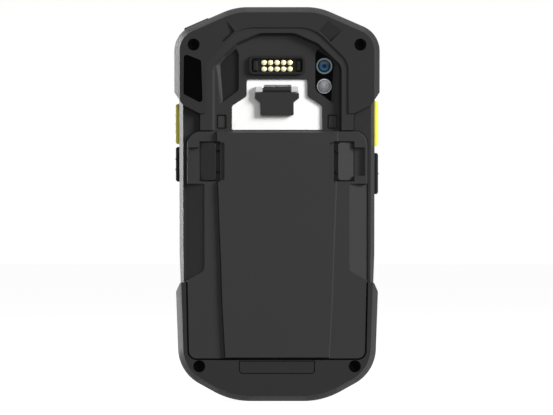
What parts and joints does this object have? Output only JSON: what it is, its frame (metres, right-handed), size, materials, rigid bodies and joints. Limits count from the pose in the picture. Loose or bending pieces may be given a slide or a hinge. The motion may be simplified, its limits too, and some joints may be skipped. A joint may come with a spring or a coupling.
{
  "type": "rugged handheld data terminal",
  "caption": "Rugged handheld touch data terminal with a tip-out battery, camera, accessory connector, strap flap and side keys.",
  "frame": {"origin": "middle of the bottom edge that the terminal stands on", "axes": "+Z to the top of the device, +Y out of the screen, -Y out of the battery side, +X to the right seen from the battery side"},
  "size_m": [0.084, 0.028, 0.161],
  "materials": {
    "housing_plastic": "fine moulded texture, charcoal",
    "bumper_skin": "soft-touch moulded skin, charcoal",
    "grip_skin": "soft-touch grip, charcoal",
    "battery_plastic": "moulded, charcoal",
    "latch_plastic": "moulded, dark grey",
    "key_yellow": "moulded yellow",
    "key_black": "moulded black",
    "anchor_white": "moulded white",
    "window_black": "glossy black",
    "steel": "bright steel",
    "dark_steel": "black-coated steel",
    "gold": "gold-plated",
    "lens_glass": "coated dark lens",
    "flash_plastic": "clear lens over a reflector",
    "screen_glass": "toughened touch glass, screen off",
    "led": "phosphor",
    "board_laminate": "circuit board, solder mask",
    "shield_metal": "tinned steel",
    "frame_metal": "light chassis alloy and plastic",
    "cell_foil": "wrapped cells",
    "module_plastic": "moulded black",
    "seal_rubber": "moulded silicone"
  },
  "bodies": {
    "terminal": {"rear_housing": "housing_plastic", "front_housing": "housing_plastic", "bumper_upper": "bumper_skin", "bumper_lower": "bumper_skin", "lower_strap_cover": "housing_plastic", "grip_pad_right": "grip_skin", "grip_pad_left": "grip_skin", "side_window": "window_black", "pocket_insert_left": "housing_plastic", "pocket_insert_right": "housing_plastic", "camera_ring": "steel", "camera_lens": "lens_glass", "camera_module": "module_plastic", "flash_lens": "flash_plastic", "flash_led": "led", "side_blocks": "latch_plastic", "interface_connector": "module_plastic", "interface_contacts": "gold", "strap_anchor_plate": "anchor_white", "strap_hinge": "steel", "power_key_board": "board_laminate", "key_board_right": "board_laminate", "key_board_left": "board_laminate", "corner_screws": "dark_steel", "housing_gasket": "seal_rubber", "well_contacts": "gold", "touch_glass": "screen_glass", "display_module": "module_plastic", "earpiece": "module_plastic", "front_camera": "lens_glass", "chassis_frame": "frame_metal", "main_board": "board_laminate", "board_shields": "shield_metal", "scan_engine": "module_plastic", "scan_window": "window_black", "vibration_motor": "shield_metal", "microphone": "module_plastic", "loudspeaker": "module_plastic", "dock_connector": "module_plastic", "dock_contacts": "gold"},
    "battery": {"battery_shell": "battery_plastic", "battery_base": "battery_plastic", "battery_cells": "cell_foil", "battery_terminals": "gold", "battery_seal": "seal_rubber", "latch_spring_left": "steel", "latch_spring_right": "steel"},
    "latch_left": {"latch_left": "latch_plastic"},
    "latch_right": {"latch_right": "latch_plastic"},
    "strap_flap": {"strap_flap": "housing_plastic"},
    "scan_key_left": {"scan_key_left": "key_yellow"},
    "scan_key_right": {"scan_key_right": "key_yellow"},
    "talk_key": {"talk_key": "key_black"},
    "volume_rocker": {"volume_rocker": "key_black"},
    "power_key": {"power_key": "key_black"}
  },
  "joints": [
    {"name": "battery_tip", "type": "hinge", "parent": "terminal", "child": "battery", "pos_m": [0, -0.0142, 0.017], "axis": [1, 0, 0], "range_deg": [0, 80]},
    {"name": "latch_left_slide", "type": "slide", "parent": "battery", "child": "latch_left", "axis": [1, 0, 0], "range_m": [0, 0.0016], "stiffness_N_per_m": 1500, "springref_m": -0.0008},
    {"name": "latch_right_slide", "type": "slide", "parent": "battery", "child": "latch_right", "axis": [-1, 0, 0], "range_m": [0, 0.0016], "stiffness_N_per_m": 1500, "springref_m": -0.0008},
    {"name": "strap_flap_hinge", "type": "hinge", "parent": "terminal", "child": "strap_flap", "pos_m": [0, -0.0108, 0.1273], "axis": [-1, 0, 0], "range_deg": [0, 100]},
    {"name": "scan_key_left_press", "type": "slide", "parent": "terminal", "child": "scan_key_left", "axis": [1, 0, 0], "range_m": [0, 0.0008], "stiffness_N_per_m": 2000, "springref_m": -0.0005},
    {"name": "scan_key_right_press", "type": "slide", "parent": "terminal", "child": "scan_key_right", "axis": [-1, 0, 0], "range_m": [0, 0.0008], "stiffness_N_per_m": 2000, "springref_m": -0.0005},
    {"name": "talk_key_press", "type": "slide", "parent": "terminal", "child": "talk_key", "axis": [-1, 0, 0], "range_m": [0, 0.0008], "stiffness_N_per_m": 2000, "springref_m": -0.0005},
    {"name": "power_key_press", "type": "slide", "parent": "terminal", "child": "power_key", "axis": [0.3993, 0, -0.9168], "range_m": [0, 0.0006], "stiffness_N_per_m": 2000, "springref_m": -0.0005},
    {"name": "volume_rocker_tilt", "type": "hinge", "parent": "terminal", "child": "volume_rocker", "pos_m": [-0.0375, -0.0005, 0.0968], "axis": [0, 1, 0], "range_deg": [-2.5, 2.5], "stiffness_Nm_per_rad": 0.08}
  ]
}
